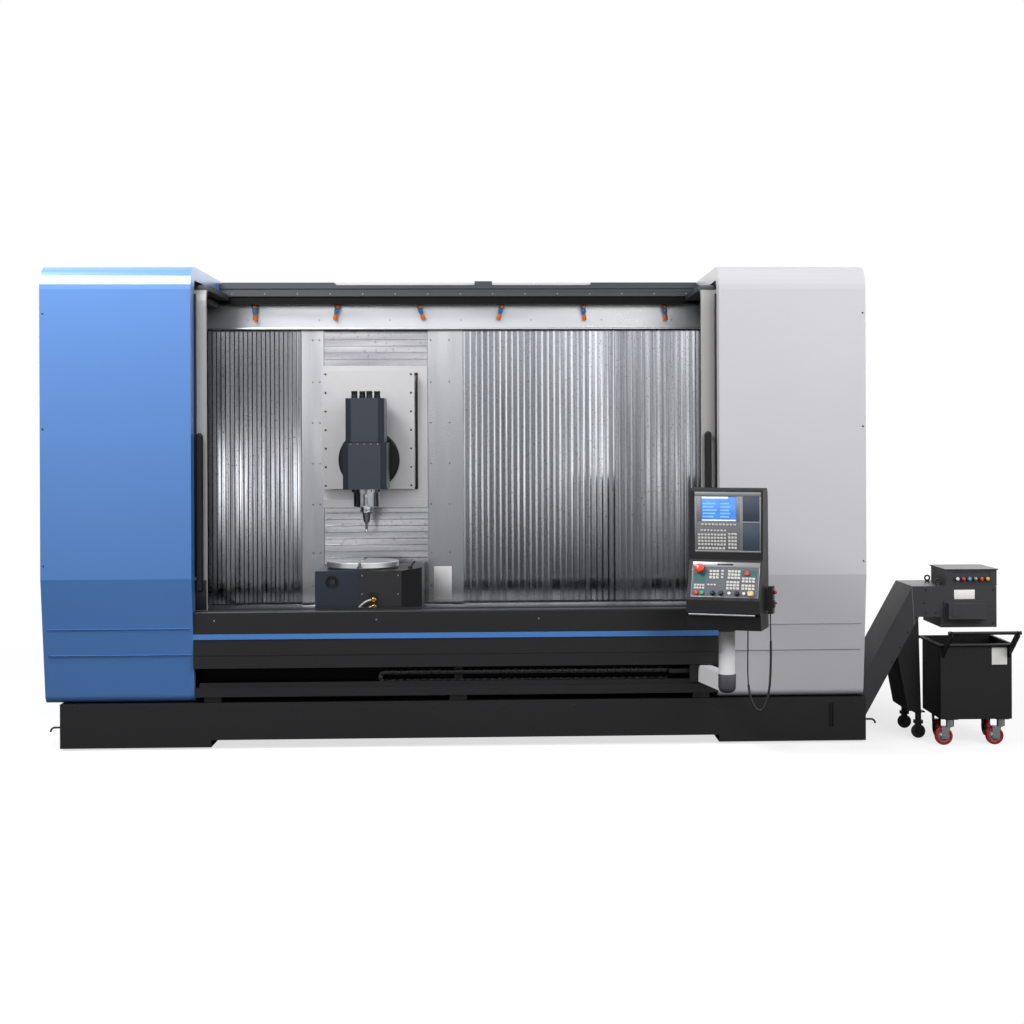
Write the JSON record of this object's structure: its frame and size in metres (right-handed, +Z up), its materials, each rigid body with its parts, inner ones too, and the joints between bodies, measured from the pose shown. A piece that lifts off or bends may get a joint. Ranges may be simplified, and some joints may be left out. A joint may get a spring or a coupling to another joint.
{
  "type": "machining centre",
  "caption": "Travelling-column machining centre with swivel head, rotary table, sliding doors, swivelling operator pendant, chip conveyor and wheeled chip bin.",
  "frame": {"origin": "on the floor under the middle of the enclosure", "axes": "+X to the operator's right, +Y to the rear, +Z up"},
  "size_m": [6.793, 3.9711, 3.391],
  "materials": {
    "anthracite_paint": "satin dark grey paint",
    "blue_paint": "satin blue paint",
    "grey_paint": "satin light grey paint",
    "navy_paint": "satin blue-grey paint",
    "black_paint": "fine-textured black paint",
    "stainless": "brushed sheet",
    "ground_steel": "ground",
    "casting": "machined casting",
    "brass": "turned",
    "pane": "clear safety glass",
    "black_plastic": "moulded",
    "panel_plastic": "moulded",
    "stop_red": "gloss red",
    "cream_plastic": "moulded",
    "orange_plastic": "moulded",
    "cord_rubber": "matt",
    "red_tread": "satin red tread",
    "black_tread": "satin black tread"
  },
  "bodies": {
    "frame": {"machine_bed": "anthracite_paint", "levelling_pads": "ground_steel", "x_rails": "ground_steel", "x_screw": "ground_steel", "work_table": "casting", "chip_guard": "stainless", "rotary_housing": "navy_paint", "rotary_fittings": "brass", "left_cover": "blue_paint", "right_cover": "grey_paint", "left_side_panel": "blue_paint", "right_side_panel": "grey_paint", "front_apron": "anthracite_paint", "door_track": "anthracite_paint", "pendant_rail": "anthracite_paint", "cable_chain": "black_plastic", "roof_beam": "anthracite_paint", "header_panel": "stainless", "coolant_nozzles": "orange_plastic", "rear_enclosure": "grey_paint", "x_bellows": "stainless", "conveyor_housing": "black_paint", "conveyor_belt": "ground_steel", "conveyor_gear_cover": "black_paint", "conveyor_control_box": "black_paint", "conveyor_stand": "black_paint"},
    "column": {"column_frame": "stainless", "column_casting": "casting", "z_bellows": "stainless"},
    "saddle": {"saddle": "casting"},
    "ram": {"ram": "stainless"},
    "head": {"swivel_disc": "black_paint", "head_housing": "navy_paint", "spindle_nose": "ground_steel"},
    "spindle": {"spindle_shaft": "ground_steel", "cutting_tool": "ground_steel"},
    "rotary": {"rotary_disc": "ground_steel"},
    "left_door": {"left_door": "grey_paint", "left_door_window": "pane", "left_door_handle": "black_paint"},
    "left_inner_door": {"left_inner_door": "grey_paint"},
    "right_door": {"right_door": "grey_paint", "right_door_window": "pane", "right_door_handle": "black_paint"},
    "right_inner_door": {"right_inner_door": "grey_paint"},
    "pendant_arm": {"pendant_arm": "grey_paint"},
    "pendant": {"pendant_case": "black_paint", "screen_unit": "panel_plastic", "operation_panel": "panel_plastic", "hand_unit": "black_plastic", "pendant_cord": "cord_rubber"},
    "estop": {"emergency_stop": "stop_red"},
    "feed_knob": {"feed_knob": "cream_plastic"},
    "bin": {"bin_body": "black_paint"},
    "bin_left_castor": {"bin_left_fork": "ground_steel"},
    "bin_right_castor": {"bin_right_fork": "ground_steel"},
    "bin_left_wheel": {"bin_left_wheel": "red_tread"},
    "bin_right_wheel": {"bin_right_wheel": "red_tread"},
    "bin_rear_axle": {"bin_rear_wheels": "red_tread"},
    "stand_axle": {"stand_wheels": "black_tread"}
  },
  "joints": [
    {"name": "column_x", "type": "slide", "parent": "frame", "child": "column", "axis": [1, 0, 0], "range_m": [-0.95, 1.75], "deforming": ["x_bellows"]},
    {"name": "saddle_z", "type": "slide", "parent": "column", "child": "saddle", "axis": [0, 0, 1], "range_m": [-0.17, 0.28], "deforming": ["z_bellows"]},
    {"name": "ram_y", "type": "slide", "parent": "saddle", "child": "ram", "axis": [0, -1, 0], "range_m": [-0.05, 0.45]},
    {"name": "head_b", "type": "hinge", "parent": "ram", "child": "head", "pos_m": [-0.712, -0.415, 2.012], "axis": [0, 1, 0], "range_deg": [-100, 100]},
    {"name": "spindle_turn", "type": "hinge", "parent": "head", "child": "spindle", "pos_m": [-0.712, -0.67, 1.8], "axis": [0, 0, 1], "continuous": true},
    {"name": "rotary_c", "type": "hinge", "parent": "frame", "child": "rotary", "pos_m": [-0.72, -0.925, 1.218], "axis": [0, 0, 1], "continuous": true},
    {"name": "left_door_x", "type": "slide", "parent": "frame", "child": "left_door", "axis": [1, 0, 0], "range_m": [0, 1.7685]},
    {"name": "left_inner_door_x", "type": "slide", "parent": "frame", "child": "left_inner_door", "axis": [1, 0, 0], "range_m": [0, 0.9455]},
    {"name": "right_door_x", "type": "slide", "parent": "frame", "child": "right_door", "axis": [-1, 0, 0], "range_m": [0, 1.7405]},
    {"name": "right_inner_door_x", "type": "slide", "parent": "frame", "child": "right_inner_door", "axis": [-1, 0, 0], "range_m": [0, 0.9455]},
    {"name": "pendant_x", "type": "slide", "parent": "frame", "child": "pendant_arm", "axis": [1, 0, 0], "range_m": [-1.5, 0], "deforming": ["cable_chain"]},
    {"name": "pendant_swivel", "type": "hinge", "parent": "pendant_arm", "child": "pendant", "pos_m": [1.841, -2, 0.886], "axis": [0, 0, 1], "range_deg": [-60, 60]},
    {"name": "emergency_stop_press", "type": "slide", "parent": "pendant", "child": "estop", "axis": [0.338, 0.8804, -0.3326], "range_m": [0, 0.006]},
    {"name": "feed_knob_turn", "type": "hinge", "parent": "pendant", "child": "feed_knob", "pos_m": [1.96035, -2.27507, 1.13395], "axis": [-0.338, -0.8804, 0.3326], "range_deg": [-135, 135]},
    {"name": "bin_roll", "type": "slide", "parent": "frame", "child": "bin", "axis": [0, -1, 0], "range_m": [0, 0.9]},
    {"name": "bin_left_swivel", "type": "hinge", "parent": "bin", "child": "bin_left_castor", "pos_m": [3.468, -1.67, 0.182], "axis": [0, 0, 1], "continuous": true},
    {"name": "bin_right_swivel", "type": "hinge", "parent": "bin", "child": "bin_right_castor", "pos_m": [3.83, -1.67, 0.182], "axis": [0, 0, 1], "continuous": true},
    {"name": "bin_left_wheel_turn", "type": "hinge", "parent": "bin_left_castor", "child": "bin_left_wheel", "pos_m": [3.422, -1.67, 0.0625], "axis": [0, 1, 0], "continuous": true},
    {"name": "bin_right_wheel_turn", "type": "hinge", "parent": "bin_right_castor", "child": "bin_right_wheel", "pos_m": [3.784, -1.67, 0.0625], "axis": [0, 1, 0], "continuous": true},
    {"name": "bin_rear_wheels_turn", "type": "hinge", "parent": "bin", "child": "bin_rear_axle", "pos_m": [3.649, -1.33, 0.0625], "axis": [1, 0, 0], "continuous": true},
    {"name": "stand_wheels_turn", "type": "hinge", "parent": "frame", "child": "stand_axle", "pos_m": [3.312, -1.21, 0.05], "axis": [0, 1, 0], "continuous": true}
  ],
  "couplings": [
    {"joint": "left_inner_door_x", "follows": "left_door_x", "ratio": 0.53435},
    {"joint": "right_inner_door_x", "follows": "right_door_x", "ratio": 0.54295}
  ]
}
